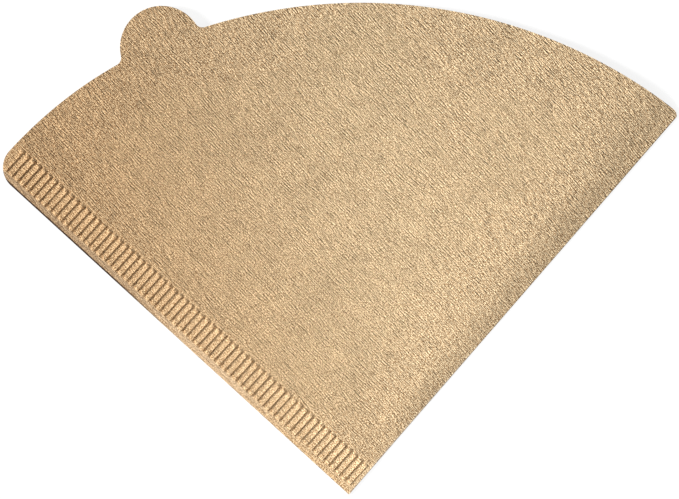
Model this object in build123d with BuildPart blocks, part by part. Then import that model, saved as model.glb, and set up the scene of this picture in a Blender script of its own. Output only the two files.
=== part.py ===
from build123d import *

import os
from math import asin, cos, degrees, radians, sin, sqrt, tan

# A cone coffee filter as it comes out of its pack. One sheet of crepe paper is folded in half, so that it
# lies as two plies in the shape of a fan. The tip points to -Y and the round mouth to +Y. The crimped seam
# is the straight edge on the -X side, the fold is the straight edge on the +X side. The back ply lies flat
# on Z = 0 and the front ply bows up from it, most of all beside the fold, so that the mouth stands ajar.

# The paper
ply = 0.2

# The fan. Its mouth is one arc from the fold to the tab, whose centre is measured from the tip, and a tighter
# arc, the shoulder, which runs on from it behind the tab down to the seam
half_angle = 44.25
mouth_radius = 126.1
mouth_centre_x = 2.6
mouth_centre_y = -5.5
shoulder_radius = 106.0
seam_corner_radius = 6.0
fold_corner_radius = 2.0
fold_allowance = 0.3
tip_radius = 0.5

# The half-round tab on the mouth, turned from the middle line towards the seam
tab_radius = 10.2
tab_turn = 19.7
tab_sink = 1.0
tab_join_radius = 2.0

# The crimped seam, measured from its cut edge and from the tip. Raised and sunken pads take turns, and each
# raised pad is hollow behind. Outside the crimps the front ply's cut edge stands a step back from the back
# ply's, with a slit under it
crimp_margin = 2.0
crimp_length = 6.7
crimp_land = 1.0
crimp_pitch = 1.82
crimp_start = 1.06
crimp_rise = 0.25
crimp_sink = 0.2
crimp_recess = 0.2
crimp_wall_angle = 45.0
edge_step = 0.8
edge_slit = 0.06
edge_slit_depth = 0.6

# The pocket between the plies: how far they stand apart at the mouth, and where across its width, as a share
# of the way from the fold to the seam. The front ply leaves the fold and meets the seam at these angles
fold_bend_radius = 0.15
fold_spring_angle = 16.0
seam_spring_angle = 6.0
crest_gap = 2.6
crest_share = 0.08
belly_gap = 1.7
belly_share = 0.5
shoulder_gap = 1.5
shoulder_share = 0.88
pocket_toe = 2.0
overrun = 3.0

lean = radians(half_angle)
seam_band = crimp_margin + crimp_length + crimp_land
pad_width = crimp_pitch / 2
crimp_middle = crimp_margin + crimp_length / 2
mouth_top = mouth_centre_y + mouth_radius
tab_reach = mouth_radius - tab_sink
tab_x = mouth_centre_x - tab_reach * sin(radians(tab_turn))
tab_y = mouth_centre_y + tab_reach * cos(radians(tab_turn))

# The shoulder's arc touches the mouth's arc on the line from the mouth's centre through the tab
shoulder_shift = mouth_radius - shoulder_radius
shoulder_x = mouth_centre_x - shoulder_shift * sin(radians(tab_turn))
shoulder_y = mouth_centre_y + shoulder_shift * cos(radians(tab_turn))

# How far the two arcs turn from straight ahead, to the die's side beyond the fold and to the seam
fold_offset = fold_allowance - mouth_centre_x * cos(lean) + mouth_centre_y * sin(lean)
fold_turn = half_angle + degrees(asin(fold_offset / mouth_radius))
seam_offset = shoulder_x * cos(lean) + shoulder_y * sin(lean)
seam_turn = half_angle + degrees(asin(seam_offset / shoulder_radius))

# How far the seam reaches from the tip, and how many pairs of pads it takes
seam_reach = shoulder_y * cos(lean) - shoulder_x * sin(lean) + sqrt(shoulder_radius**2 - seam_offset**2)
crimp_count = int((seam_reach - crimp_start) / crimp_pitch)

# The pocket's own tip, where the inside of the seam band meets the fold, and its first and last section
pocket_tip = seam_band / (2 * sin(lean))
pocket_start = pocket_tip + pocket_toe
pocket_end = max(mouth_top, tab_y + tab_radius) + overrun


def fold_x(distance):
    """Where the fold is, at a distance from the tip along the middle line."""
    return distance * tan(lean)


def band_x(distance):
    """Where the seam band ends and the plies part, at the same distance."""
    return (seam_band - distance * sin(lean)) / cos(lean)


def opening(distance):
    """The pocket's width there, as a share of its width at the mouth."""
    return (fold_x(distance) - band_x(distance)) / (fold_x(mouth_top) - band_x(mouth_top))


def bend_x(distance):
    """Where the back ply ends and the fold's bend begins."""
    return fold_x(distance) - fold_bend_radius * opening(distance) - ply


# The die's outline. Its side runs clear of the fold, which isn't cut, and rounds the fold's corner
with BuildSketch() as die:
    with BuildLine():
        mouth = CenterArc(
            (mouth_centre_x, mouth_centre_y), mouth_radius, 90 - fold_turn, fold_turn + tab_turn
        )
        shoulder = CenterArc(
            (shoulder_x, shoulder_y), shoulder_radius, 90 + tab_turn, seam_turn - tab_turn
        )
        die_tip = (fold_allowance / (2 * cos(lean)), -fold_allowance / (2 * sin(lean)))
        Polyline(shoulder @ 1, die_tip, mouth @ 0)
    make_face()
    with Locations((tab_x, tab_y)):
        Circle(tab_radius)
    fillet(die.vertices().sort_by_distance((tab_x, tab_y))[:2], tab_join_radius)
    fillet(die.vertices().sort_by(Axis.X)[0], seam_corner_radius)
    fillet(die.vertices().sort_by(Axis.X)[-1], fold_corner_radius)
    fillet(die.vertices().sort_by(Axis.Y)[0], tip_radius)

# The fan as it is seen from above, from the seam's cut edge to the fold
with BuildSketch() as fan:
    add(die.sketch)
    with BuildLine():
        Polyline((0, 0), (-fold_x(pocket_end), pocket_end), (fold_x(pocket_end), pocket_end), close=True)
    make_face(mode=Mode.INTERSECT)

# The origin is the middle of the fan's box, so the tip's place follows from its outline
fan_middle = fan.sketch.bounding_box().center()
tip_x, tip_y = -fan_middle.X, -fan_middle.Y
sheet_plane = Plane((tip_x, tip_y, 0))
seam_plane = Plane((tip_x, tip_y, 0), x_dir=(-sin(lean), cos(lean), 0), z_dir=(0, 0, 1))


def cross_plane(distance):
    """An upright plane across the filter, at a distance from the tip along the middle line."""
    return Plane((tip_x, tip_y + distance, 0), x_dir=(1, 0, 0), z_dir=(0, -1, 0))


def front_ply(distance):
    """A section of the front ply and of the bend at the fold, from the back ply to the seam band."""
    left, right = band_x(distance), fold_x(distance)
    width = right - left
    share = opening(distance)
    rise = radians(fold_spring_angle)
    fall = radians(seam_spring_angle)
    start_x = bend_x(distance)
    start_z = fold_bend_radius * share + ply
    with BuildSketch(cross_plane(distance)) as section:
        with BuildLine():
            for wall in (0, ply):
                bend = fold_bend_radius * share + wall
                leave = (start_x + bend * sin(rise), start_z + bend * cos(rise))
                ThreePointArc((start_x, start_z - bend), (start_x + bend, start_z), leave)
                Spline(
                    leave,
                    (right - crest_share * width, ply + crest_gap * share + wall),
                    (right - belly_share * width, ply + belly_gap * share + wall),
                    (right - shoulder_share * width, ply + shoulder_gap * share + wall),
                    (left, ply + wall),
                    tangents=((-cos(rise), sin(rise)), (-cos(fall), -sin(fall))),
                )
            Line((start_x, 0), (start_x, ply))
            Line((left, ply), (left, 2 * ply))
        make_face()
    return section.sketch


def crimp_row(start):
    """One row of pads along the seam, from a distance from the tip."""
    with Locations((start, -crimp_middle)):
        with GridLocations(crimp_pitch, 1, crimp_count, 1, align=(Align.MIN, Align.CENTER)):
            Rectangle(pad_width, crimp_length, align=(Align.MIN, Align.CENTER))


with BuildPart() as folded_filter:
    # Both plies pressed together, along the seam and at the tip
    with BuildSketch(sheet_plane):
        with BuildLine():
            Polyline(
                (0, 0),
                (fold_x(pocket_start), pocket_start),
                (band_x(pocket_start), pocket_start),
                (band_x(pocket_end), pocket_end),
                (-fold_x(pocket_end), pocket_end),
                close=True,
            )
        make_face()
    extrude(amount=2 * ply)

    # The fold's round edge at the tip
    fold_middle = sheet_plane.from_local_coords((fold_x(pocket_start) / 2, pocket_start / 2, ply))
    fillet(folded_filter.edges().sort_by_distance(fold_middle)[:2], 0.9 * ply)

    # The pocket's back ply
    with BuildSketch(sheet_plane):
        with BuildLine():
            Polyline(
                (band_x(pocket_start), pocket_start),
                (bend_x(pocket_start), pocket_start),
                (bend_x(pocket_end), pocket_end),
                (band_x(pocket_end), pocket_end),
                close=True,
            )
        make_face()
    extrude(amount=ply)

    # The pocket's front ply, which widens and bows higher from the tip to the mouth
    loft([front_ply(pocket_start), front_ply(pocket_end)], ruled=True)

    # The crimps: raised pads with a recess behind each, and sunken pads between them
    with BuildSketch(seam_plane.offset(2 * ply)):
        crimp_row(crimp_start)
    extrude(amount=crimp_rise, taper=crimp_wall_angle)
    with BuildSketch(seam_plane):
        crimp_row(crimp_start)
    extrude(amount=crimp_recess, taper=crimp_wall_angle, mode=Mode.SUBTRACT)
    with BuildSketch(seam_plane.offset(2 * ply)):
        crimp_row(crimp_start + pad_width)
    extrude(amount=-crimp_sink, taper=crimp_wall_angle, mode=Mode.SUBTRACT)

    # The front ply's cut edge, a step back from the back ply's, and the slit under it
    with BuildSketch(seam_plane.offset(ply)):
        with Locations((-overrun, overrun)):
            Rectangle(seam_reach + 2 * overrun, edge_step + overrun, align=(Align.MIN, Align.MAX))
    extrude(amount=2 * ply, mode=Mode.SUBTRACT)
    with BuildSketch(seam_plane.offset(ply)):
        with Locations((crimp_start, 0)):
            Rectangle(seam_reach, edge_step + edge_slit_depth, align=(Align.MIN, Align.MAX))
    extrude(amount=edge_slit, mode=Mode.SUBTRACT)

    # The die-cut outline, through everything
    with BuildSketch(sheet_plane):
        add(die.sketch)
    extrude(amount=2 * ply + 2 * crest_gap, mode=Mode.INTERSECT)

folded_filter.part.label = "folded_filter"

os.makedirs("parts", exist_ok=True)
export_step(folded_filter.part, "parts/folded_filter.step")
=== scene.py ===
import math

import bpy
import numpy as np
from bpy.props import FloatProperty, FloatVectorProperty, IntProperty, PointerProperty, StringProperty
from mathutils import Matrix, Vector


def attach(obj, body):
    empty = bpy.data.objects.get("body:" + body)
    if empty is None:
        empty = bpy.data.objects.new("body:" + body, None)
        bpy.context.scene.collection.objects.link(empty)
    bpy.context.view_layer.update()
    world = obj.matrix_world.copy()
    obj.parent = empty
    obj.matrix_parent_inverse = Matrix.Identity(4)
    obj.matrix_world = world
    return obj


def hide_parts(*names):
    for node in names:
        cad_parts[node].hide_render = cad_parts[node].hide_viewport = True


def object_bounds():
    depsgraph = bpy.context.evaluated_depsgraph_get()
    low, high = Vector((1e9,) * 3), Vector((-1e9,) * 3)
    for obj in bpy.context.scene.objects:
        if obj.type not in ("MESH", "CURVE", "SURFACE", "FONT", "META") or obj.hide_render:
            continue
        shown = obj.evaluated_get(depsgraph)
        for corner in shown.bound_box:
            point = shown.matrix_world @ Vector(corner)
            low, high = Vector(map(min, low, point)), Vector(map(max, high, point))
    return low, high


bl_info = {
    "name": "Cone coffee filter",
    "version": (1, 0, 0),
    "blender": (4, 5, 0),
    "location": "View3D > Sidebar > Filter",
    "description": "Dresses the packed cone coffee filter as one folded sheet of crepe paper",
    "category": "Object",
}

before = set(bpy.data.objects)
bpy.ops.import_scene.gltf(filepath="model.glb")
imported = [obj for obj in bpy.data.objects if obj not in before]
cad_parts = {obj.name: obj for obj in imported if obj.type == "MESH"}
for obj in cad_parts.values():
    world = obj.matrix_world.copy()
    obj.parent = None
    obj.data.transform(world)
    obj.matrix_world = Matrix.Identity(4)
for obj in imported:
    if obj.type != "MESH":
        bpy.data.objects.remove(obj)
CAD_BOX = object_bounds()
NODE = "folded_filter"
MM = 0.001
IMAGE_WIDTH = 679
IMAGE_HEIGHT = 499

# The map of the flat sheet that the paper's pattern follows
SHEET_MAP = "flat_sheet"

# Points of the die's line that are closer together than this are one
SAME_PLACE = 0.0001 * MM

# How finely the sheet is divided: rows at each end of a crimp, in the margin, in the land and in the field,
# columns round the fold, and the columns at each crimp as shares of the pitch, close together at its steep
# side. One in five of those goes on into the field
END_ROWS = 7
MARGIN_ROWS = 5
LAND_ROWS = 3
FIELD_ROWS = 46
BEND_COLUMNS = 13
CRIMP_COLUMNS = (-0.13, -0.065, 0.0, 0.065, 0.13, 0.25, 0.37, 0.5, 0.63, 0.76)
KEPT_EVERY = 5

# The flat of each ply starts this far from the fold. Before the die cuts them, the back ply runs past the
# cut edge by the overrun, and both end short of the mouth's radius along the seam, and past it across
FOLD_CLEAR = 0.55 * MM
OVERRUN = 0.5 * MM
SHORT_ALONG = 4 * MM
PAST_ACROSS = 2 * MM

# What the bend at the fold takes up on the flat sheet, and a hair's breadth, which is the least gap inside
# the fold and the least width of the pocket
BEND_FLAT = 0.6 * MM
HAIR = 0.01 * MM

# The steep side of a pad, as a share of the pitch. Three places on the gentle side, and how far the paper
# has come down there. At the pads' ends it comes down square instead, from this place and over this width
CLIMB = 0.14
GENTLE_PLACES = (0.07, 0.45, 0.93)
GENTLE_FALL = (0.0, 0.82, 1.0)
SQUARE_PLACE = 0.44
SQUARE_WIDTH = 0.22

# No two pads are quite alike: the least and the most of a pair's bite, and how far a pad's end may slip
# along the crimp. The ends are pinched hardest: the middle has this share of their height, and they ease
# into it over this length
BITE = (0.85, 1.1)
SLIP = 0.07 * MM
MIDDLE_BITE = 0.65
END_EASE = 0.8 * MM

# The crimps hold the margin and the land off the floor by this many times a sunken pad's depth, and the
# sheet comes down from there over this length
LIFT = 1.1
LIFT_EASE = 4 * MM

# How the crest's height and the spring's width grow with the depth, as powers of it. The crest starts over
# its toe, and the spring is no narrower than at its own. From the flare's place on, it is wider by the flare
CREST_POWER = 0.45
CREST_TOE = 0.11
SPRING_POWER = 0.25
SPRING_TOE = 0.02
FLARE = 0.4
FLARE_PLACE = 0.56
FLARE_LENGTH = 0.1

# The front ply's rise beside the fold: the share of it that is straight, and how much steeper than the mean
# that share is
SPRING_STRAIGHT = 0.15
SPRING_SLOPE = 2 / (1 + SPRING_STRAIGHT)

# Places across the pocket, as shares of the way from the fold to the seam, and the front ply's slope at
# each, as crest heights for the whole way
POCKET_PLACES = np.array([0.0, 0.08, 0.5, 0.88, 1.0])
POCKET_SLOPES = np.array([0.0, -0.4, -0.7, -3.0, 0.0])

# How far it takes for the columns to turn beside the fold and in the field, for the bend's end to meet the
# front ply, and for the sheet's waves to begin beside the seam and beside the fold
BESIDE_EASE = 0.75 * MM
FIELD_EASE = 12 * MM
BEND_EASE = 1.5 * MM
WAVES_FROM_SEAM = 15 * MM
WAVES_FROM_FOLD = 12 * MM

# Faces that meet at less than this are shaded as one
SMOOTH_ANGLE = math.radians(40)

# About how much of the noise's range lies between the foot and the crest of a ridge
RIDGE_SPAN = 0.25


def length(name, description, millimetres):
    """A size that a user may change, in metres as Blender keeps it."""
    return FloatProperty(
        name=name, description=description, default=millimetres * MM, unit="LENGTH", precision=5
    )


def angle(name, description, degrees):
    """An angle that a user may change."""
    return FloatProperty(
        name=name, description=description, default=math.radians(degrees), subtype="ANGLE", unit="ROTATION"
    )


def number(name, description, value):
    """A plain number, such as a lamp's strength or a share."""
    return FloatProperty(name=name, description=description, default=value)


def paint(name, description, value):
    """A colour written as an sRGB hex value."""
    return StringProperty(name=name, description=description, default=value)


class FilterSizes(bpy.types.PropertyGroup):
    """The sheet and the die that cuts its outline, as the construction has them."""

    ply: length("Ply", "Room that one ply takes in the stack of two", 0.2)
    paper: length("Paper", "Thickness of the crepe paper itself", 0.18)
    half_angle: angle("Half angle", "From the middle line to the fold or to the seam", 44.25)
    mouth_radius: length("Mouth radius", "Radius of the mouth's arc", 126.1)
    mouth_centre: FloatVectorProperty(
        name="Mouth centre",
        description="Centre of the mouth's arc, from the tip",
        size=2,
        default=(2.6 * MM, -5.5 * MM),
        unit="LENGTH",
    )
    shoulder_radius: length("Shoulder radius", "Radius of the arc from the tab to the seam", 106.0)
    seam_corner: length("Seam corner", "Radius of the corner at the seam", 6.0)
    fold_corner: length("Fold corner", "Radius of the corner at the fold", 2.0)
    fold_allowance: length("Fold allowance", "How far the die clears the fold", 0.3)
    tip_radius: length("Tip radius", "Radius of the tip", 0.5)
    tab_radius: length("Tab radius", "Radius of the half-round tab", 10.2)
    tab_turn: angle("Tab turn", "How far the tab is turned from the middle line", 19.7)
    tab_sink: length("Tab sink", "How far the tab's centre lies inside the mouth's arc", 1.0)
    tab_join: length("Tab join", "Radius where the tab runs into the mouth", 2.0)


class SeamSizes(bpy.types.PropertyGroup):
    """The crimped seam, measured in from its cut edge and along it from the tip."""

    step: length("Edge step", "How far the front ply's cut edge stands back from the back ply's", 0.8)
    margin: length("Margin", "From the cut edge to the crimps", 1.6)
    crimp_length: length("Crimp length", "Length of a crimp, across the seam", 7.2)
    land: length("Land", "From the crimps to the pocket", 0.9)
    pitch: length("Pitch", "From one raised pad to the next", 1.814)
    start: length("Start", "From the tip to the first raised pad", 1.375)
    rise: length("Rise", "How far a raised pad stands up", 0.38)
    sink: length("Sink", "How far a sunken pad goes down", 0.25)
    end_wall: length("End wall", "Width of the wall at a pad's end", 0.75)
    count: IntProperty(name="Count", description="Raised pads along the seam", default=64)


class PocketSizes(bpy.types.PropertyGroup):
    """The pocket between the plies, at the mouth."""

    bend: length("Fold radius", "Inside radius of the fold", 0.15)
    spring: length("Spring width", "How far from the fold the front ply is still curved", 11.5)
    crest: length("Crest", "How far the plies stand apart beside the fold", 2.75)
    belly: length("Belly", "How far they stand apart in the middle", 1.75)
    shoulder: length("Shoulder", "How far they stand apart near the seam", 1.1)


class PaperLook(bpy.types.PropertyGroup):
    """The finish of the paper."""

    # Through the ridges, pale is also a painted highlight on the crepe's crests, and deep a painted shade in
    # its valleys
    pale: paint("Pale paper", "Colour on the crests of the crepe", "#FFE5BA")
    deep: paint("Deep paper", "Colour in the valleys of the crepe", "#926B42")
    # A painted shade: the paper's colour is multiplied by this tint towards the seam's far end
    painted_shade: paint("Shaded paper", "Tint of the paper towards the seam's far end", "#EDE1D5")
    # A painted highlight: this pale colour lies along the sharp end of the fold and in the seam's margin
    painted_highlight: paint("Worn paper", "Colour where the fold and the margin are pressed hardest", "#F6E6CE")
    # A painted shade: this dark colour lies on the margin and the cut edge towards the seam's far end
    edge: paint("Cut edge", "Colour of the margin and its cut fibres at the seam's far end", "#3E2A1A")
    ridge: length("Crepe width", "Width of a crepe ridge", 0.3)
    ridge_length: length("Crepe length", "Length of a crepe ridge", 2.3)
    ridge_tone: number("Ridge tone", "How far the ridges take the colour", 0.3)
    fibre: length("Fibre", "Width of a fibre end", 0.2)
    fibre_length: length("Fibre length", "Length of a fibre end", 0.35)
    fibre_tone: number("Fibre tone", "How far the fibre ends take the colour", 5.5)
    relief: length("Relief", "Height of the crepe ridges", 0.24)
    crepe_turn: angle("Crepe turn", "Direction of the ridges, from the seam", -1.5)
    wander: length("Wander", "From one bend of a ridge to the next", 7.0)
    wander_width: length("Wander width", "How far a bend takes a ridge aside", 0.5)
    patch: length("Patch", "Size of the patches where the crepe is stronger or weaker", 4.0)
    roughness: number("Roughness", "Roughness of the unglazed paper", 0.92)


class StageLook(bpy.types.PropertyGroup):
    """The floor, the lamps and the camera."""

    floor: paint("Floor", "Colour of the floor, for the light it throws back", "#F4F3F0")
    floor_grey: number("Floor grey", "What the camera sees of the light on the floor", 0.16)
    floor_glow: number("Floor glow", "What the camera sees of the floor besides", 0.88)
    camera_turn: angle("Camera turn", "Turn of the picture about the line of sight", -3.31)
    camera_height: length("Camera height", "From the floor to the camera", 1500.0)
    picture_width: length("Picture width", "What the picture spans on the floor", 166.83)
    tip_column: number("Tip column", "Where the tip is in the picture", 348.95)
    tip_row: number("Tip row", "Where the tip is in the picture", 494.6)
    key: number("Key", "Strength of the key lamp", 5.55)
    key_rise: angle("Key rise", "Height of the key lamp over the floor", 28.0)
    key_spread: angle("Key spread", "How wide the key lamp looks from the floor", 16.0)
    fill: number("Fill", "Strength of the fill lamp", 0.06)
    fill_size: length("Fill size", "Width of the fill lamp", 80.0)
    fill_right: length("Fill right", "How far the fill lamp is right of the picture's middle", 22.0)
    fill_down: length("Fill down", "How far the fill lamp is below the picture's middle", 16.0)
    fill_height: length("Fill height", "From the floor to the fill lamp", 110.0)
    sky: number("Sky", "Strength of the even light all round", 0.12)


def smooth(value):
    """0 below 0, 1 above 1, and a soft step between."""
    t = np.clip(value, 0.0, 1.0)
    return t * t * (3.0 - 2.0 * t)


def hermite(x, knots, heights, slopes):
    """A smooth curve through the knots, with a slope at each."""
    i = np.clip(np.searchsorted(knots, x, side="right") - 1, 0, len(knots) - 2)
    span = knots[i + 1] - knots[i]
    t = np.clip((x - knots[i]) / span, 0.0, 1.0)
    rest = 1.0 - t
    return (
        (1 + 2 * t) * rest**2 * heights[i]
        + t * rest**2 * span * slopes[i]
        + t**2 * (3 - 2 * t) * heights[i + 1]
        - t**2 * rest * span * slopes[i + 1]
    )


# The die's outline


def seam_way(size):
    """Along the seam, away from the tip."""
    return Vector((-math.sin(size.half_angle), math.cos(size.half_angle)))


def seam_in(size):
    """Across the seam, in from its cut edge."""
    return Vector((math.cos(size.half_angle), math.sin(size.half_angle)))


def fold_way(size):
    """Along the fold, away from the tip."""
    return Vector((math.sin(size.half_angle), math.cos(size.half_angle)))


def fold_in(size):
    """Across the filter, in from the fold."""
    return Vector((-math.cos(size.half_angle), math.sin(size.half_angle)))


def arc(centre, radius, start, end, step):
    """Points along an arc, from one point's direction to another's, the short way round. The step between
    them is in degrees."""
    first = math.atan2(start.y - centre.y, start.x - centre.x)
    sweep = math.atan2(end.y - centre.y, end.x - centre.x) - first
    sweep = (sweep + math.pi) % math.tau - math.pi
    count = max(2, math.ceil(abs(sweep) / math.radians(step)))
    turns = [first + sweep * i / count for i in range(count + 1)]
    return [centre + Vector((math.cos(turn), math.sin(turn))) * radius for turn in turns]


def circles_meet(a, radius_a, b, radius_b, side):
    """Where two circles cross, on the left of the way from a to b with side = 1, or on the right with -1."""
    way = b - a
    apart = way.length
    along = (apart**2 + radius_a**2 - radius_b**2) / (2 * apart)
    across = math.sqrt(radius_a**2 - along**2)
    way.normalize()
    return a + way * along + Vector((-way.y, way.x)) * across * side


def line_meets(point, way, centre, radius):
    """The further of the two points where a line crosses a circle."""
    to_centre = centre - point
    along = to_centre.dot(way)
    return point + way * (along + math.sqrt(radius**2 - to_centre.length_squared + along**2))


def touch(centre, other, radius):
    """Where the circle about centre touches the one about other."""
    return centre + (other - centre).normalized() * radius


def die_outline(size):
    """The die's line, from the tip along the fold's side, round the mouth and back to the seam."""
    tab_way = Vector((-math.sin(size.tab_turn), math.cos(size.tab_turn)))
    mouth = Vector(size.mouth_centre)
    shoulder = mouth + tab_way * (size.mouth_radius - size.shoulder_radius)
    tab = mouth + tab_way * (size.mouth_radius - size.tab_sink)

    # The tip
    corner = size.tip_radius
    clear = size.fold_allowance
    sharp_y = -clear / (2 * math.sin(size.half_angle))
    sharp = Vector((clear / (2 * math.cos(size.half_angle)), sharp_y))
    centre = sharp + Vector((0, corner / math.sin(size.half_angle)))
    points = arc(centre, corner, centre - seam_in(size), centre - fold_in(size), 12)

    # The corner at the fold, and the mouth's arc
    corner = size.fold_corner
    inside = fold_in(size) * (corner - clear)
    centre = line_meets(inside, fold_way(size), mouth, size.mouth_radius - corner)
    mouth_start = mouth + (centre - mouth).normalized() * size.mouth_radius
    points += arc(centre, corner, centre - fold_in(size), mouth_start, 8)
    join = size.tab_join
    centre = circles_meet(mouth, size.mouth_radius + join, tab, size.tab_radius + join, -1)
    points += arc(mouth, size.mouth_radius, mouth_start, centre, 0.5)

    # The tab, between its two joins
    points += arc(centre, join, touch(centre, mouth, join), touch(centre, tab, join), 8)
    top = tab + tab_way * size.tab_radius
    points += arc(tab, size.tab_radius, centre, top, 3)
    centre = circles_meet(shoulder, size.shoulder_radius + join, tab, size.tab_radius + join, 1)
    points += arc(tab, size.tab_radius, top, centre, 3)
    points += arc(centre, join, touch(centre, tab, join), touch(centre, shoulder, join), 8)

    # The shoulder's arc, and the corner at the seam
    corner = size.seam_corner
    last = line_meets(seam_in(size) * corner, seam_way(size), shoulder, size.shoulder_radius - corner)
    points += arc(shoulder, size.shoulder_radius, centre, last, 0.5)
    points += arc(last, corner, points[-1], last - seam_in(size), 5)

    # Each point once
    line = [points[0]]
    for point in points[1:]:
        if (point - line[-1]).length > SAME_PLACE:
            line.append(point)
    return line


def tip_place(size):
    """Where the tip is: the CAD box is the fan's, from the seam's far corner to the tab's top."""
    outline = np.array([tuple(point) for point in die_outline(size)])
    low, high = CAD_BOX
    return Vector((low[0] - outline[:, 0].min(), high[1] - outline[:, 1].max()))


# The folded sheet


def seam_band(seam):
    """Width of the pressed band along the seam."""
    return seam.margin + seam.crimp_length + seam.land


def rows_across(seam, start, reach):
    """Distances in from the seam's cut edge, close together at the ends of the crimps."""
    wall = np.linspace(-SLIP, seam.end_wall + SLIP, END_ROWS)
    outer = seam.margin + wall
    inner = seam.margin + seam.crimp_length - wall[::-1]
    margin = np.linspace(start, outer[0], MARGIN_ROWS)[:-1]
    ease = END_EASE * np.array([0.5, 1.0])
    centre = (outer[-1] + inner[0]) / 2
    middle = np.concatenate([outer[-1] + ease, [centre], inner[0] - ease[::-1]])
    land = np.linspace(inner[-1], seam_band(seam), LAND_ROWS)[1:]
    field = np.linspace(seam_band(seam), reach, FIELD_ROWS + 1)[1:]
    return np.concatenate([margin, outer, middle, inner, land, field])


def columns_along(seam, far):
    """Distances from the fold along a ply, and which of them go on from the seam into the field."""
    pads = np.arange(seam.count)[:, None] + np.array(CRIMP_COLUMNS)
    pads = seam.start + seam.pitch * pads.ravel()
    tail = np.arange(pads[-1] + seam.pitch / 2, far, seam.pitch / 2)
    columns = np.concatenate([[FOLD_CLEAR], pads, tail, [far]])
    kept = np.ones(len(columns), bool)
    kept[1 : len(pads) + 1] = np.arange(len(pads)) % KEPT_EVERY == 0
    return columns, kept


def crimp_wave(phase, near_end):
    """One pair of pads, from 0 at the bottom of the sunken pad to 1 at the crest of the raised one. It is
    steep towards the tip, and falls off gently the other way, but stands square at the pads' ends."""
    climb = smooth(phase / CLIMB + 0.5)
    gentle = np.interp(phase, GENTLE_PLACES, GENTLE_FALL)
    square = smooth((phase - SQUARE_PLACE) / SQUARE_WIDTH)
    fall = gentle + (square - gentle) * near_end
    return climb * (1 - fall) + smooth((phase - 1) / CLIMB + 0.5)


def crimp_height(s, q, seam):
    """How far the crimps push the paper up or down, at s along the seam and q in from its cut edge. No two
    pads are quite alike: the rollers bite a little deeper here and a little longer there."""
    draw = np.random.RandomState(7)
    bite = draw.uniform(*BITE, seam.count)
    inner_slip = draw.uniform(-1, 1, seam.count) * SLIP
    outer_slip = draw.uniform(-1, 1, seam.count) * SLIP
    turn = (s - seam.start) / seam.pitch
    pad = np.clip(np.floor(turn).astype(int), 0, seam.count - 1)
    from_outer = q - seam.margin - outer_slip[pad]
    from_inner = seam.margin + seam.crimp_length + inner_slip[pad] - q
    near_end = 1 - smooth((np.minimum(from_outer, from_inner) - seam.end_wall) / END_EASE)
    height = (seam.rise + seam.sink) * crimp_wave(turn % 1.0, near_end) - seam.sink
    height = height * (MIDDLE_BITE + (1 - MIDDLE_BITE) * near_end)

    # The row has no sunken pad before its first raised one or after its last
    height = np.where((turn < 0) | (turn > seam.count - 0.5), np.maximum(height, 0), height)
    height = np.where((turn < -0.2) | (turn > seam.count - 0.2), 0, height)
    ends = smooth(from_outer / seam.end_wall) * smooth(from_inner / seam.end_wall)
    return height * ends * bite[pad]


def cockle(x, y):
    """The sheet's own slow waves, from drying: height, wavelengths along X and Y, and phase."""
    waves = (
        (0.10, 47.0, 31.0, 0.4),
        (0.07, -38.0, 29.0, 1.7),
        (0.05, 21.0, -27.0, 2.9),
        (0.035, 15.0, 18.0, 0.8),
    )
    total = np.zeros_like(x)
    for height, along_x, along_y, phase in waves:
        total += height * MM * np.sin(math.tau * (x / (along_x * MM) + y / (along_y * MM)) + phase)
    return total


def pocket_depth(y, size, seam):
    """How far towards the mouth a place is, as a share of the way from the pocket's own tip."""
    toe = seam_band(seam) / (2 * math.sin(size.half_angle))
    mouth = size.mouth_centre[1] + size.mouth_radius
    return np.clip((y - toe) / (mouth - toe), 0, None)


def crest_height(depth, pocket):
    """How far the plies stand apart beside the fold."""
    return pocket.crest * depth**CREST_POWER * smooth(depth / CREST_TOE)


def spring_width(depth, pocket):
    """How far from the fold the front ply is still curved. It is wider at the mouth's corner, where the
    paper is free."""
    flare = 1 + FLARE * smooth((depth - FLARE_PLACE) / FLARE_LENGTH)
    return pocket.spring * np.maximum(depth, SPRING_TOE) ** SPRING_POWER * flare


def spring_rise(share):
    """The front ply's rise beside the fold, from 0 to 1. It starts straight and eases off."""
    straight = np.clip(share, 0, SPRING_STRAIGHT)
    eased = np.clip((share - SPRING_STRAIGHT) / (1 - SPRING_STRAIGHT), 0, 1)
    return SPRING_SLOPE * (straight + (1 - SPRING_STRAIGHT) * (eased - eased**3 + eased**4 / 2))


def pocket_gap(x, y, from_fold, size, seam, pocket):
    """How far the front ply stands off the back one. It springs up beside the fold and sinks to the seam."""
    depth = pocket_depth(y, size, seam)
    fold_at = y * math.tan(size.half_angle)
    band_at = (seam_band(seam) - y * math.sin(size.half_angle)) / math.cos(size.half_angle)
    across = np.clip((fold_at - x) / np.maximum(fold_at - band_at, HAIR), 0, 1)
    heights = np.array([1.0, 1.0, pocket.belly / pocket.crest, pocket.shoulder / pocket.crest, 0.0])
    crest = crest_height(depth, pocket) * hermite(across, POCKET_PLACES, heights, POCKET_SLOPES)
    return crest * spring_rise(from_fold / spring_width(depth, pocket))


def along_seam(c, q, size, seam, far):
    """Distance along the seam for a place c from the fold. Columns keep to the crimps inside the seam's
    band, and spread to the fold's own direction in the field."""
    fold_s = q * math.tan(math.pi / 2 - 2 * size.half_angle)
    beside = 1 - smooth((c - FOLD_CLEAR) / BESIDE_EASE)
    spread = 1 - c / far
    return c + fold_s * (beside + (spread - beside) * smooth((q - seam_band(seam)) / FIELD_EASE))


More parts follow.
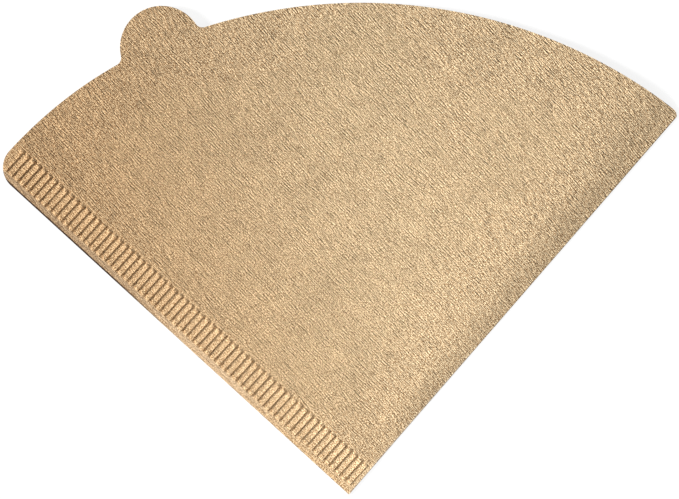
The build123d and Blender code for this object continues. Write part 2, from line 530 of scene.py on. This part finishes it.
class SheetGrid:
    """The folded sheet's middle surface: rows across the seam, and columns from the front ply's far end
    round the fold to the back ply's far end."""

    def __init__(self, size, seam, pocket):
        self.size, self.seam, self.pocket = size, seam, pocket
        far = size.mouth_radius - SHORT_ALONG
        reach = size.mouth_radius + PAST_ACROSS
        columns, kept = columns_along(seam, far)
        ply = len(columns)
        bend = np.ones(BEND_COLUMNS, bool)
        self.kept = np.concatenate([kept[::-1], bend, kept])
        self.is_front = np.arange(len(self.kept)) < ply
        self.is_back = self.is_front[::-1]
        self.is_bend = ~(self.is_front | self.is_back)
        self.turn = np.concatenate([np.ones(ply), np.linspace(1, 0, BEND_COLUMNS), np.zeros(ply)])
        front_rows = rows_across(seam, seam.step, reach)
        back_rows = rows_across(seam, -OVERRUN, reach)
        self.band_row = len(front_rows) - FIELD_ROWS - 1
        self.q = front_rows[:, None] * self.turn + back_rows[:, None] * (1 - self.turn)
        self.place_bend()
        flat_c = np.concatenate([columns[::-1], np.zeros(BEND_COLUMNS), columns])
        self.c = np.where(self.is_bend, self.bend_c, flat_c)
        self.s = along_seam(self.c, self.q, size, seam, far)
        self.place_plies()

    def place_bend(self):
        """The bend at the fold: a half turn, wider towards the mouth, that ends on the front ply's slope."""
        size, seam, pocket = self.size, self.seam, self.pocket
        fold_y = self.q / math.sin(2 * size.half_angle) * math.cos(size.half_angle)
        depth = pocket_depth(fold_y, size, seam)
        slope = SPRING_SLOPE * crest_height(depth, pocket) / spring_width(depth, pocket)
        self.slope = slope
        self.radius = np.maximum(size.paper / 2 + HAIR + pocket.bend * depth, size.ply / 2)
        self.bend_angle = self.turn * (math.pi - np.arctan(slope)) - math.pi / 2
        self.bend_c = self.radius * (1 - np.cos(self.bend_angle)) + size.paper / 2
        self.bend_z = size.ply / 2 + self.radius * (1 + np.sin(self.bend_angle))

    def place_plies(self):
        """The two plies: the back one flat, the front one over the pocket, and the crimps through both."""
        size, seam, pocket = self.size, self.seam, self.pocket
        out, inward = seam_way(size), seam_in(size)
        self.x = self.s * out.x + self.q * inward.x
        self.y = self.s * out.y + self.q * inward.y
        fold_s = self.q * math.tan(math.pi / 2 - 2 * size.half_angle)
        from_fold = (self.s - fold_s) * math.sin(2 * size.half_angle)
        gap = pocket_gap(self.x, self.y, from_fold, size, seam, pocket)

        # The front ply starts where the bend ends, and a short ease takes up what is left
        rise = np.arctan(self.slope)
        leave_c = self.radius * (1 - np.sin(rise)) + size.paper / 2
        leave_z = size.ply / 2 + self.radius * (1 + np.cos(rise))
        miss = leave_z - 1.5 * size.ply - self.slope * leave_c
        ease = np.exp(-np.maximum(self.c - leave_c, 0) / BEND_EASE)
        waves = cockle(self.x, self.y) * smooth((self.q - seam_band(seam)) / WAVES_FROM_SEAM)
        front_z = 1.5 * size.ply + gap + miss * ease + waves * smooth(self.c / WAVES_FROM_FOLD)
        self.z = np.where(self.is_front, front_z, np.where(self.is_back, size.ply / 2, self.bend_z))

        # The sunken pads rest on the floor, and hold the margin and the land just off it
        lift = LIFT * seam.sink * (1 - smooth((self.q - seam_band(seam)) / LIFT_EASE))
        self.z = self.z + lift + np.where(self.is_bend, 0, crimp_height(self.s, self.q, seam))

    def surfaces(self):
        """The sheet's outer and inner faces, half its thickness either side of the middle."""
        size = self.size
        out = -seam_way(size)
        tip = tip_place(size)
        flat = np.where(self.is_front, 1.0, -1.0)
        cosine = np.where(self.is_bend, np.cos(self.bend_angle), 0.0)
        sine = np.where(self.is_bend, np.sin(self.bend_angle), flat)
        up = np.stack([cosine * out.x, cosine * out.y, sine], -1)
        place = np.stack([self.x + tip.x, self.y + tip.y, self.z], -1)
        return place + up * size.paper / 2, place - up * size.paper / 2

    def flat_places(self):
        """Where each point lies on the unfolded sheet, with the fold along the second axis."""
        bent = (self.turn - 0.5) * BEND_FLAT
        side = np.where(self.is_front, 1.0, -1.0)
        return np.stack([np.where(self.is_bend, bent, side * self.c), self.q], -1)


def sheet_faces(grid):
    """Which grid points are used, and the faces between them. Every column is used in the seam's band, and
    only the kept ones in the field."""
    rows, total = grid.q.shape
    live = np.zeros((rows, total), bool)
    live[: grid.band_row + 1] = True
    live[grid.band_row + 1 :, grid.kept] = True
    count = int(live.sum())
    numbers = np.full((rows, total), -1)
    numbers[live] = np.arange(count)
    kept = np.flatnonzero(grid.kept)

    outer = []
    for row in range(rows - 1):
        stations = np.arange(total) if row < grid.band_row else kept
        for a, b in zip(stations[:-1], stations[1:]):
            lower = numbers[row, a : b + 1] if row == grid.band_row else numbers[row, [a, b]]
            outer.append([int(numbers[row + 1, a]), int(numbers[row + 1, b])] + lower[::-1].tolist())
    inner = [[n + count for n in face[::-1]] for face in outer]
    rim = np.concatenate([numbers[0], numbers[1:, -1], numbers[-1, kept][-2::-1], numbers[-2::-1, 0]])
    walls = [[int(a), int(b), int(b) + count, int(a) + count] for a, b in zip(rim[:-1], rim[1:])]
    return live, outer + inner + walls


def deselect():
    """Nothing selected, in object mode."""
    if bpy.context.mode != "OBJECT":
        bpy.ops.object.mode_set(mode="OBJECT")
    bpy.ops.object.select_all(action="DESELECT")


def new_piece(name, vertices, faces):
    """A mesh object at the origin, active and alone selected."""
    mesh = bpy.data.meshes.new(name)
    mesh.from_pydata([tuple(vertex) for vertex in vertices], [], faces)
    piece = bpy.data.objects.new(name, mesh)
    bpy.context.scene.collection.objects.link(piece)
    deselect()
    piece.select_set(True)
    bpy.context.view_layer.objects.active = piece
    return piece


def die_block(size):
    """The die as a block whose sides are the outline."""
    tip = tip_place(size)
    outline = die_outline(size)
    bottom, top = -1 * MM, 6 * MM
    floor = [(point.x + tip.x, point.y + tip.y, bottom) for point in outline]
    block = new_piece("die_block", floor, [list(range(len(outline)))])
    bpy.ops.object.mode_set(mode="EDIT")
    bpy.ops.mesh.select_all(action="SELECT")
    bpy.ops.mesh.extrude_region_move(TRANSFORM_OT_translate={"value": (0, 0, top - bottom)})
    bpy.ops.mesh.select_all(action="SELECT")
    bpy.ops.mesh.normals_make_consistent(inside=False)
    bpy.ops.object.mode_set(mode="OBJECT")
    return block


def die_cut(piece, size):
    """Cuts the piece to the die's outline."""
    block = die_block(size)
    deselect()
    piece.select_set(True)
    bpy.context.view_layer.objects.active = piece
    cut = piece.modifiers.new("die_cut", "BOOLEAN")
    cut.operation = "INTERSECT"
    cut.solver = "MANIFOLD"
    cut.object = block
    bpy.ops.object.modifier_apply(modifier=cut.name)
    bpy.data.objects.remove(block)


# The materials


def linear(hex_value):
    """An sRGB hex value as the linear colour that a shader takes."""
    parts = [int(hex_value[i : i + 2], 16) / 255 for i in (1, 3, 5)]
    return [p / 12.92 if p <= 0.04045 else ((p + 0.055) / 1.055) ** 2.4 for p in parts] + [1.0]


def add_node(tree, kind, inputs, **settings):
    """A node with its settings, and its inputs as values or as the sockets that feed them."""
    node = tree.nodes.new(kind)
    for name, value in settings.items():
        setattr(node, name, value)
    for key, value in inputs.items():
        if isinstance(value, bpy.types.NodeSocket):
            tree.links.new(value, node.inputs[key])
        else:
            node.inputs[key].default_value = value
    return node


def new_material(name):
    """A material with an empty node tree."""
    material = bpy.data.materials.new(name)
    material.use_nodes = True
    material.node_tree.nodes.clear()
    return material


def crepe_marks(tree, look, seam, sheet, from_fold, from_seam):
    """The crepe: ridges that a blade pushes up as it scrapes the damp sheet off its drying drum, and the
    short ends of fibre that stand up between them. Both run within a few degrees of the seam. The ridges are
    here strong and there faint, and the crimping rollers and the crease flatten them. Real ridges are 0.2 to
    0.3 mm wide, which is a pixel of the picture, so they are drawn at the wider end of that. Returns ridges
    and fibre ends, each about 0."""
    turned = add_node(
        tree, "ShaderNodeMapping", {"Vector": sheet, "Rotation": (0, 0, look.crepe_turn)}
    ).outputs[0]
    wander = add_node(
        tree, "ShaderNodeTexNoise", {"Vector": turned, "Scale": 1 / look.wander, "Detail": 0.0}
    )
    bent = add_node(
        tree,
        "ShaderNodeVectorMath",
        {0: wander.outputs["Color"], 1: (look.wander_width, look.wander_width, 0), 2: turned},
        operation="MULTIPLY_ADD",
    )
    marks = []
    for long, wide in ((look.ridge_length, look.ridge), (look.fibre_length, look.fibre)):
        stretched = add_node(
            tree, "ShaderNodeMapping", {"Vector": bent.outputs[0], "Scale": (1 / long, 1 / wide, 1)}
        )
        noise = add_node(
            tree,
            "ShaderNodeTexNoise",
            {"Vector": stretched.outputs[0], "Scale": 1.0, "Detail": 1.0, "Roughness": 0.6},
        )
        level = add_node(tree, "ShaderNodeMath", {0: noise.outputs["Fac"], 1: 0.5}, operation="SUBTRACT")
        marks.append(level.outputs[0])
    ridges, fibres = marks

    # In patches the ridges are up to 15 per cent stronger or weaker
    patches = add_node(
        tree, "ShaderNodeTexNoise", {"Vector": sheet, "Scale": 1 / look.patch, "Detail": 2.0}
    )
    strength = add_node(
        tree,
        "ShaderNodeMapRange",
        {
            "Value": patches.outputs["Fac"],
            "From Min": 0.35,
            "From Max": 0.65,
            "To Min": 0.85,
            "To Max": 1.15,
        },
    )

    # Where they are pressed: the distance at which they are flattest, the one at which they are whole again,
    # and what is left of them at the first
    crimp_end = seam.margin + seam.crimp_length
    strong = strength.outputs[0]
    for distance, flat, full, least in (
        (from_seam, crimp_end, seam_band(seam), 0.4),
        (from_fold, 1 * MM, 14 * MM, 0.8),
    ):
        pressed = add_node(
            tree,
            "ShaderNodeMapRange",
            {"Value": distance, "From Min": flat, "From Max": full, "To Min": least},
            interpolation_type="SMOOTHSTEP",
        )
        strong = add_node(
            tree, "ShaderNodeMath", {0: strong, 1: pressed.outputs[0]}, operation="MULTIPLY"
        ).outputs[0]
    ridges = add_node(tree, "ShaderNodeMath", {0: ridges, 1: strong}, operation="MULTIPLY")
    return ridges.outputs[0], fibres


def crepe_paper(look, seam):
    """Unbleached wood-pulp filter paper, wet-creped and dried: a dull, open surface with no gloss, in the
    brown of raw pulp, with darker fibres, a painted highlight on the crepe's crests and painted shade in its
    valleys."""
    material = new_material("unbleached_crepe_filter_paper")
    tree = material.node_tree
    sheet = add_node(tree, "ShaderNodeUVMap", {}, uv_map=SHEET_MAP).outputs["UV"]
    place = add_node(tree, "ShaderNodeTexCoord", {}).outputs["Object"]
    split = add_node(tree, "ShaderNodeSeparateXYZ", {0: sheet})
    from_fold = add_node(tree, "ShaderNodeMath", {0: split.outputs["X"]}, operation="ABSOLUTE").outputs[0]
    from_seam = split.outputs["Y"]

    # Ridges and fibre ends take the colour to either side of halfway from deep to pale: the fibre ends as
    # the paper's own uneven tone, and the ridges as a painted highlight on their crests and painted shade in
    # their valleys
    ridges, fibres = crepe_marks(tree, look, seam, sheet, from_fold, from_seam)
    tone = 0.5
    for mark, amount in ((ridges, look.ridge_tone), (fibres, look.fibre_tone)):
        marked = add_node(tree, "ShaderNodeMath", {0: mark, 1: amount, 2: tone}, operation="MULTIPLY_ADD")
        tone = marked.outputs[0]
    colour = add_node(
        tree,
        "ShaderNodeMix",
        {0: tone, 6: linear(look.deep), 7: linear(look.pale)},
        data_type="RGBA",
    ).outputs[2]
    colour = painted_light_and_shade(tree, look, from_fold, from_seam, colour)

    # A painted shade: the sheet is drawn a little darker and browner towards the seam's far end, from
    # somewhat short of its middle
    far_way = (-0.98, -0.2, 0.0)
    start, end = -20 * MM, 72 * MM
    seamward = add_node(tree, "ShaderNodeVectorMath", {0: place, 1: far_way}, operation="DOT_PRODUCT")
    painted_shade_ramp = add_node(
        tree,
        "ShaderNodeMapRange",
        {"Value": seamward.outputs["Value"], "From Min": start, "From Max": end},
        interpolation_type="SMOOTHSTEP",
    )
    tint = add_node(
        tree,
        "ShaderNodeMix",
        {0: painted_shade_ramp.outputs[0], 6: (1, 1, 1, 1), 7: linear(look.painted_shade)},
        data_type="RGBA",
    )
    colour = add_node(tree, "ShaderNodeVectorMath", {0: colour, 1: tint.outputs[2]}, operation="MULTIPLY")

    bump = add_node(tree, "ShaderNodeBump", {"Distance": look.relief / RIDGE_SPAN, "Height": ridges})
    shader = add_node(
        tree,
        "ShaderNodeBsdfPrincipled",
        {
            "Base Color": colour.outputs[0],
            "Roughness": look.roughness,
            "Specular IOR Level": 0.25,
            "Normal": bump.outputs[0],
        },
    )
    add_node(tree, "ShaderNodeOutputMaterial", {"Surface": shader.outputs[0]})
    return material


def painted_light_and_shade(tree, look, from_fold, from_seam, colour):
    """A painted highlight along the sharp end of the fold and in the seam's margin, and a painted shade on
    the margin and cut edge towards the seam's far end. Each place fades in both ways, from none at one
    distance in millimetres to its full amount at the other, and has its amount and its colour."""
    places = (
        # The sharp end of the fold: a painted highlight
        ((from_fold, 0.7, 0.1), (from_seam, 60.0, 30.0), 0.4, look.painted_highlight),
        # The margin: a painted highlight
        ((from_seam, 2.0, 1.4), (from_fold, 15.0, 45.0), 0.22, look.painted_highlight),
        # The margin towards the far end: a painted shade
        ((from_seam, 2.0, 1.4), (from_fold, 50.0, 85.0), 0.28, look.edge),
        # The cut edge towards the far end: a painted shade, darkest at the edge
        ((from_seam, 0.5, 0.25), (from_fold, 55.0, 80.0), 1.0, look.edge),
    )
    for across, along, amount, hex_value in places:
        masks = []
        for distance, none, full in (across, along):
            masks.append(
                add_node(
                    tree,
                    "ShaderNodeMapRange",
                    {"Value": distance, "From Min": none * MM, "From Max": full * MM},
                    interpolation_type="SMOOTHSTEP",
                ).outputs[0]
            )
        both = add_node(tree, "ShaderNodeMath", {0: masks[0], 1: masks[1]}, operation="MULTIPLY")
        share = add_node(tree, "ShaderNodeMath", {0: both.outputs[0], 1: amount}, operation="MULTIPLY")
        colour = add_node(
            tree, "ShaderNodeMix", {0: share.outputs[0], 6: colour, 7: linear(hex_value)}, data_type="RGBA"
        ).outputs[2]
    return colour


def camera_or_glossy(tree):
    """1 for what the camera sees, also in a gloss, and 0 for light on its way to the filter."""
    paths = add_node(tree, "ShaderNodeLightPath", {})
    seen = {0: paths.outputs["Is Camera Ray"], 1: paths.outputs["Is Glossy Ray"]}
    return add_node(tree, "ShaderNodeMath", seen, operation="MAXIMUM").outputs[0]


def pale_floor(look):
    """A board in matt white emulsion, which has no gloss. The camera sees it near white with the filter's
    soft shadow on it, and it throws back plain light."""
    material = new_material("matt_white_board")
    tree = material.node_tree
    board = add_node(tree, "ShaderNodeBsdfDiffuse", {"Color": linear(look.floor)})
    grey = add_node(tree, "ShaderNodeBsdfDiffuse", {"Color": [look.floor_grey] * 3 + [1]})
    glow = add_node(
        tree, "ShaderNodeEmission", {"Color": (1, 1, 1, 1), "Strength": look.floor_glow}
    )
    white = add_node(tree, "ShaderNodeAddShader", {0: grey.outputs[0], 1: glow.outputs[0]})
    mixed = add_node(
        tree, "ShaderNodeMixShader", {0: camera_or_glossy(tree), 1: board.outputs[0], 2: white.outputs[0]}
    )
    add_node(tree, "ShaderNodeOutputMaterial", {"Surface": mixed.outputs[0]})
    return material


# The operators


class FILTER_OT_folded_filter(bpy.types.Operator):
    """Model the folded sheet, with its crimped seam, its fold and its die-cut mouth"""

    bl_idname = "filter.folded_filter"
    bl_label = "Folded filter"

    def execute(self, context):
        scene = context.scene
        grid = SheetGrid(scene.filter_sizes, scene.filter_seam, scene.filter_pocket)
        live, faces = sheet_faces(grid)
        outer, inner = grid.surfaces()
        piece = new_piece("crepe_paper_filter", np.concatenate([outer[live], inner[live]]), faces)

        flat = np.tile(grid.flat_places()[live], (2, 1))
        corners = np.zeros(len(piece.data.loops), int)
        piece.data.loops.foreach_get("vertex_index", corners)
        piece.data.uv_layers.new(name=SHEET_MAP).data.foreach_set("uv", flat[corners].ravel())

        die_cut(piece, scene.filter_sizes)
        bpy.ops.object.shade_smooth_by_angle(angle=SMOOTH_ANGLE)
        piece.data.materials.clear()
        piece.data.materials.append(crepe_paper(scene.filter_paper, scene.filter_seam))
        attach(piece, "root")
        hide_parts(NODE)
        return {"FINISHED"}


class FILTER_OT_stage(bpy.types.Operator):
    """Lay out the floor, the lamps and the camera"""

    bl_idname = "filter.stage"
    bl_label = "Stage"

    def execute(self, context):
        scene = context.scene
        look = scene.filter_stage
        deselect()
        bpy.ops.mesh.primitive_plane_add(size=6, location=(0, 0, 0))
        floor = context.object
        floor.name = "floor"
        floor.data.materials.append(pale_floor(look))

        # The picture's own axes on the floor, and the middle of the picture
        right = Vector((math.cos(look.camera_turn), math.sin(look.camera_turn), 0))
        above = Vector((-math.sin(look.camera_turn), math.cos(look.camera_turn), 0))
        pixel = look.picture_width / IMAGE_WIDTH
        centre = tip_place(scene.filter_sizes).to_3d()
        centre += right * (IMAGE_WIDTH / 2 - look.tip_column) * pixel
        centre += above * (look.tip_row - IMAGE_HEIGHT / 2) * pixel

        # A long lens straight above, as a product picture has
        camera = bpy.data.cameras.new("camera")
        camera.sensor_width = 36
        camera.lens = camera.sensor_width * look.camera_height / look.picture_width
        camera.clip_end = 20
        eye = bpy.data.objects.new("camera", camera)
        eye.location = centre + Vector((0, 0, look.camera_height))
        eye.rotation_euler = (0, 0, look.camera_turn)
        scene.collection.objects.link(eye)
        scene.camera = eye

        # A low key lamp from the picture's left, which draws the crepe and the crimps, and a soft fill above
        sun = bpy.data.lights.new("key", "SUN")
        sun.energy = look.key
        sun.angle = look.key_spread
        lamp = bpy.data.objects.new("key", sun)
        towards = Vector((0, 0, math.sin(look.key_rise))) - right * math.cos(look.key_rise)
        lamp.rotation_euler = towards.to_track_quat("Z", "Y").to_euler()
        scene.collection.objects.link(lamp)
        softbox = bpy.data.lights.new("fill", "AREA")
        softbox.size = look.fill_size
        softbox.energy = look.fill
        lamp = bpy.data.objects.new("fill", softbox)
        lamp.location = centre + right * look.fill_right - above * look.fill_down
        lamp.location.z += look.fill_height
        lamp.visible_camera = False
        scene.collection.objects.link(lamp)

        # Even light from all round, which the camera and a gloss see as white
        world = bpy.data.worlds.new("studio")
        world.use_nodes = True
        tree = world.node_tree
        tree.nodes.clear()
        level = add_node(
            tree, "ShaderNodeMapRange", {"Value": camera_or_glossy(tree), "To Min": look.sky, "To Max": 1.0}
        )
        sky = add_node(tree, "ShaderNodeBackground", {"Color": (1, 1, 1, 1), "Strength": level.outputs[0]})
        add_node(tree, "ShaderNodeOutputWorld", {"Surface": sky.outputs[0]})
        scene.world = world
        scene.view_settings.view_transform = "Standard"
        return {"FINISHED"}


class FILTER_PT_panel(bpy.types.Panel):
    """The filter's sizes, finish and stage"""

    bl_idname = "FILTER_PT_panel"
    bl_label = "Cone coffee filter"
    bl_space_type = "VIEW_3D"
    bl_region_type = "UI"
    bl_category = "Filter"

    def draw(self, context):
        for name in GROUPS:
            box = self.layout.box()
            group = getattr(context.scene, name)
            for setting in group.__annotations__:
                box.prop(group, setting)
        self.layout.operator(FILTER_OT_folded_filter.bl_idname)
        self.layout.operator(FILTER_OT_stage.bl_idname)


GROUPS = {
    "filter_sizes": FilterSizes,
    "filter_seam": SeamSizes,
    "filter_pocket": PocketSizes,
    "filter_paper": PaperLook,
    "filter_stage": StageLook,
}
CLASSES = (*GROUPS.values(), FILTER_OT_folded_filter, FILTER_OT_stage, FILTER_PT_panel)


def register():
    for cls in CLASSES:
        bpy.utils.register_class(cls)
    for name, group in GROUPS.items():
        setattr(bpy.types.Scene, name, PointerProperty(type=group))


def unregister():
    for name in GROUPS:
        delattr(bpy.types.Scene, name)
    for cls in reversed(CLASSES):
        bpy.utils.unregister_class(cls)


def main():
    register()
    bpy.ops.filter.folded_filter()
    bpy.ops.filter.stage()


if __name__ == "__main__":
    main()
